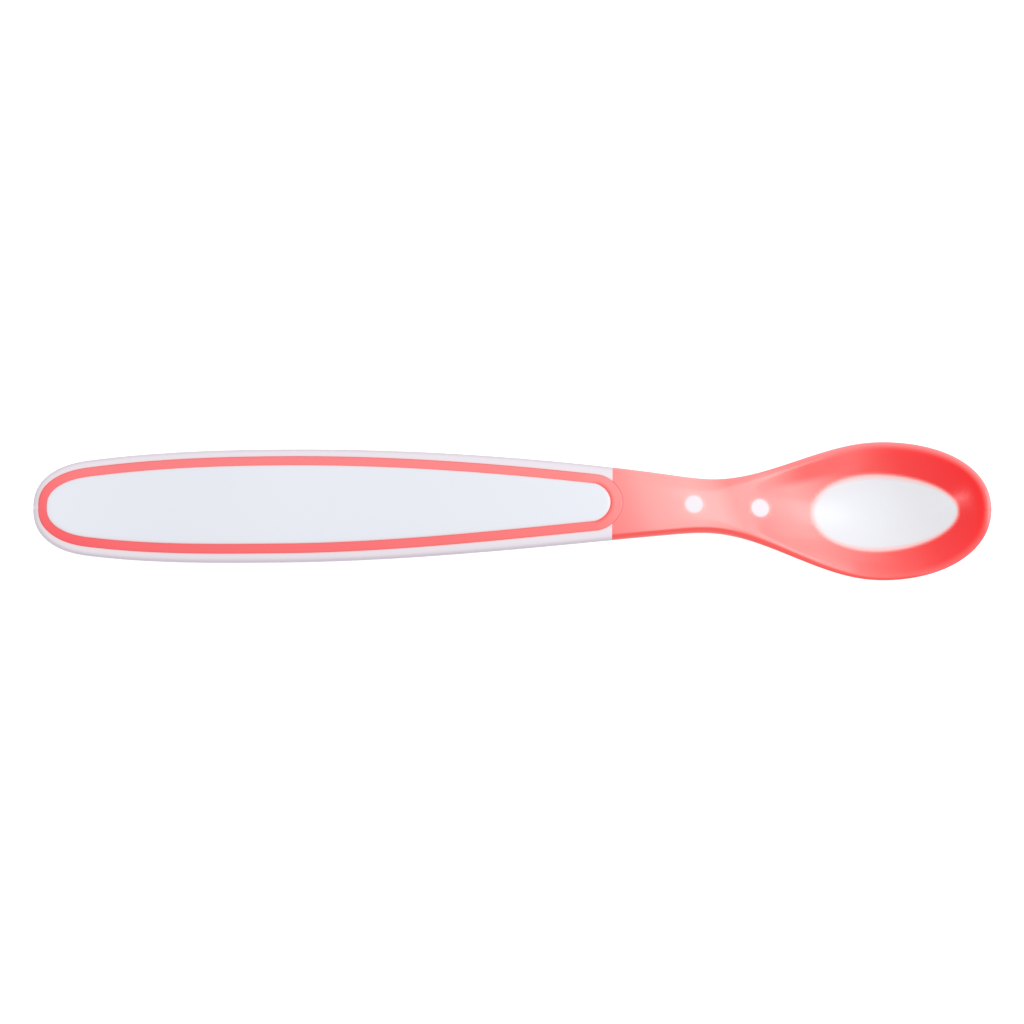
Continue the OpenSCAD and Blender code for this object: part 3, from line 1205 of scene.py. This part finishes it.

# %% [markdown]
# ### Coral thermoplastic rubber
# The soft parts are a thermoplastic elastomer, moulded against a fine-blasted steel, so they have
# a low broad sheen over a fine grain. Where the white core lies close under the skin the coral
# looks pale, and the tip, which is rubber right through, is the deepest red. So one ramp gives the
# colour over the whole length of the spoon. It runs a little further along on the far side, which
# is painted shade. The painted shares do the rest, and some of them are painted shade and a
# painted highlight.

# %% Its colour along the spoon
CORAL_STOPS = (
    (2, "#FF5A62"), (12, "#FF686E"), (60, "#FF7376"), (92, "#FF7B7A"), (99, "#FF9290"),
    (103, "#FFA4A1"), (111, "#FFAEAB"), (114.5, "#FFA4A1"), (117.5, "#FF8E8B"),
    (121, "#FF9290"), (124.5, "#FFA09D"), (128, "#FFA6A3"), (131, "#FF9E9B"),
    (134, "#FF8E8B"), (137, "#FF7A78"), (142, "#FF5C5A"), (148, "#FF3E40"),
    (155, "#FF2A2E"), (158, "#FF1C20"),
)
# The ramp's shift towards the far side is painted shade.
FAR_SIDE_SHADE_SHIFT = 0.4


def coral_along(tree, place):
    """A ramp over the length of the spoon, a little further along on the far side as painted
    shade.
    """
    axis = add_node(tree, "ShaderNodeSeparateXYZ", {"Vector": place})
    slant = add_node(
        tree, "ShaderNodeMath",
        {0: axis.outputs["Y"], 1: FAR_SIDE_SHADE_SHIFT, 2: axis.outputs["X"]},
        operation="MULTIPLY_ADD",
    )
    ends = {"From Min": x_of(0), "From Max": x_of(SPOON_LENGTH)}
    share = add_node(tree, "ShaderNodeMapRange", {"Value": slant.outputs[0], **ends})
    ramp = add_node(tree, "ShaderNodeValToRGB", {"Fac": share.outputs["Result"]})
    stops = ramp.color_ramp.elements
    while len(stops) < len(CORAL_STOPS):
        stops.new(1)
    for stop, (s, tint) in zip(stops, CORAL_STOPS):
        stop.position = s / SPOON_LENGTH
        stop.color = colour(tint)
    return ramp.outputs["Color"]


# %% The coral rubber's grain
# The real grain is about 0.1 mm wide. It is drawn seven times as wide to show.
ELASTOMER_IOR = 1.5
GRAIN_WIDTH = 0.714
GRAIN_DEPTH = 0.06
GRAIN_STRENGTH = 0.12


def rubber(name, roughness):
    """The rubber before it has a tint: material, nodes, colour socket and place."""
    material, tree, shader = new_material(name)
    place = add_node(tree, "ShaderNodeTexCoord").outputs["Object"]
    grain = add_node(
        tree, "ShaderNodeTexNoise",
        {"Vector": place, "Scale": 1 / (GRAIN_WIDTH * MM), "Detail": 2.0},
    )
    bump = add_node(
        tree, "ShaderNodeBump",
        {"Strength": GRAIN_STRENGTH, "Distance": GRAIN_DEPTH * MM, "Height": grain.outputs["Fac"]},
    )
    shader.inputs["Roughness"].default_value = roughness
    shader.inputs["IOR"].default_value = ELASTOMER_IOR
    tree.links.new(bump.outputs["Normal"], shader.inputs["Normal"])
    return material, tree, shader.inputs["Base Color"], place


# %% [markdown]
# The ring is the same rubber with a duller finish. On the real spoon it looks paler on the far
# side of the handle than on the near one, where more light falls on it, so its coral is painted
# paler across the handle: painted light. Beside the panel's front end it takes a colour of painted
# shade.

# %% The ring
RING_ROUGHNESS = 0.42
# The ring's coral grows paler towards the far side: painted light.
RING_FAR_SIDE_LIGHT_WITHIN = 6
RING_FAR_SIDE_LIGHT = 0.3
ring_rubber, tree, base, place = rubber("coral_elastomer_ring_moulded", RING_ROUGHNESS)
axis = add_node(tree, "ShaderNodeSeparateXYZ", {"Vector": place})
ends = {"From Min": -RING_FAR_SIDE_LIGHT_WITHIN * MM, "From Max": RING_FAR_SIDE_LIGHT_WITHIN * MM}
far = add_node(
    tree, "ShaderNodeMapRange", {"Value": axis.outputs["Y"], **ends, "To Max": RING_FAR_SIDE_LIGHT}
)
under, over = coral_along(tree, place), colour("#FFA2A2")
mix = add_node(
    tree, "ShaderNodeMix",
    {MIX_SHARE: far.outputs["Result"], MIX_UNDER: under, MIX_OVER: over}, data_type="RGBA",
)
# The nose stain is painted shade on the ring beside the panel's front end.
tree.links.new(stain(tree, mix.outputs[MIXED], [("nose", "#F86460")]), base)
print(ring_rubber.name, "has", len(tree.nodes), "nodes")

# %% The skin, with its painted colours over the ramp
SKIN_ROUGHNESS = 0.22
# The lip stain is partly a painted highlight, and the wall and side stains are partly painted
# shade.
SKIN_STAINS = (
    ("wall", "#FF6C6A"), ("lip", "#FF9292"), ("side", "#FC5A56"), ("halo", "#FFD6D4"),
)
skin_rubber, tree, base, place = rubber("coral_elastomer_skin_moulded", SKIN_ROUGHNESS)
tree.links.new(stain(tree, coral_along(tree, place), SKIN_STAINS), base)
print(skin_rubber.name, "has", len(tree.nodes), "nodes")

# %% Give each piece its material and body, and hide its CAD node
for piece, material, slot, node in (
    (core, core_white, "white_core", "core"),
    (panel, panel_white, "white_panel", "handle_panel"),
    (ring, ring_rubber, "coral_ring", "grip_ring"),
    (skin, skin_rubber, "coral_skin", "soft_bowl"),
):
    piece.data.materials.clear()
    piece.data.materials.append(material)
    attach(piece, "root")
    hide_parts(node)
    print(piece.name, "stands for", node)

# %% [markdown]
# ## Floor, light and camera
# The spoon lies on a plain white table. The floor looks white to the camera
# whatever light falls on it, because it glows for camera, mirror and see-through
# rays. Under the glow it keeps its own pale grey, which takes the real light, so
# the soft shadow under the spoon stays. The floor and the lights are measured in
# metres.

# %% The floor
FLOOR_SIZE = 6
FLOOR_GAP = 0.1
FLOOR_ROUGHNESS = 0.9
FLOOR_GLOW = 0.7
clear_bench()
bpy.ops.mesh.primitive_plane_add(size=FLOOR_SIZE, location=(0, 0, -FLOOR_GAP * MM))
floor = settle("floor")
floor_paint, tree, shader = new_material("matt_white_table")
shader.inputs["Base Color"].default_value = colour("#D8D8D8")
shader.inputs["Roughness"].default_value = FLOOR_ROUGHNESS
shader.inputs["Emission Color"].default_value = (1, 1, 1, 1)
rays = add_node(tree, "ShaderNodeLightPath")
seen = rays.outputs["Is Camera Ray"]
for ray in ("Is Glossy Ray", "Is Transmission Ray"):
    either = add_node(tree, "ShaderNodeMath", {0: seen, 1: rays.outputs[ray]}, operation="MAXIMUM")
    seen = either.outputs[0]
glow = add_node(tree, "ShaderNodeMath", {0: seen, 1: FLOOR_GLOW}, operation="MULTIPLY")
tree.links.new(glow.outputs[0], shader.inputs["Emission Strength"])
floor.data.materials.append(floor_paint)
print("floor", FLOOR_SIZE, "m wide,", FLOOR_GAP, "mm under the spoon")

# %% [markdown]
# The light is that of a bright room: an even white sky, and one big soft box
# beyond the bowl's end, about 47 degrees up. So the heel of the bowl, which
# faces that end, is pale, and the tip, which faces away, is deep. A small
# lamp from the tail's side puts the glint on the wall near the tip. Each lamp is
# set by the share of a plain white level that it gives on flat ground. With the
# sky these shares come to a little over 1.

# %% The lights
SKY_SHARE = 0.72


def soft_box(name, place, size, share):
    """A square area light that faces the spoon."""
    clear_bench()
    bpy.ops.object.light_add(type="AREA", location=place)
    lamp = bpy.context.object
    lamp.name = name
    toward = mathutils.Vector(place)
    lamp.rotation_euler = toward.to_track_quat("Z", "Y").to_euler()
    lamp.data.size = size
    lamp.data.energy = share * math.pi**2 * toward.length**3 / toward.z
    print(name, "gives a share of", share)


soft_box("key_light", place=(0.74, 0.14, 0.8), size=0.8, share=0.33)
soft_box("low_light", place=(-0.9, -0.03, 0.45), size=0.05, share=0.035)
world = bpy.context.scene.world or bpy.data.worlds.new("studio")
bpy.context.scene.world = world
world.use_nodes = True
sky = world.node_tree.nodes["Background"]
sky.inputs["Color"].default_value = (1, 1, 1, 1)
sky.inputs["Strength"].default_value = SKY_SHARE
print("sky gives a share of", SKY_SHARE)

# %% [markdown]
# The camera looks almost straight down from the near side, through a long lens,
# since the photo shows hardly any perspective. Its distance follows from
# the lens and from how many pixels a millimetre of the spoon takes up. The spoon
# lies a little over the point that the camera looks at, so that is added.

# %% The camera
PICTURE_WIDTH = 1024
PIXELS_PER_MM = 5.996
LENS = 400
SENSOR_WIDTH = 36
TILT = 7.5
TURN = 0.51
LOOK_AT = (0.13, 0, 1.7)
SPOON_OVER_IT = 6
VIEW_END = 20000
camera_data = bpy.data.cameras.new("camera")
camera = bpy.data.objects.new("camera", camera_data)
bpy.context.scene.collection.objects.link(camera)
camera_data.lens = LENS
camera_data.sensor_width = SENSOR_WIDTH
camera_data.clip_end = VIEW_END * MM
away = PICTURE_WIDTH * LENS / SENSOR_WIDTH / PIXELS_PER_MM + SPOON_OVER_IT
camera.rotation_euler = (math.radians(TILT), 0, math.radians(TURN))
back = camera.rotation_euler.to_matrix() @ mathutils.Vector((0, 0, 1))
camera.location = (mathutils.Vector(LOOK_AT) + back * away) * MM
bpy.context.scene.camera = camera
bpy.context.scene.view_settings.view_transform = "Standard"
print("camera", round(away), "mm away")
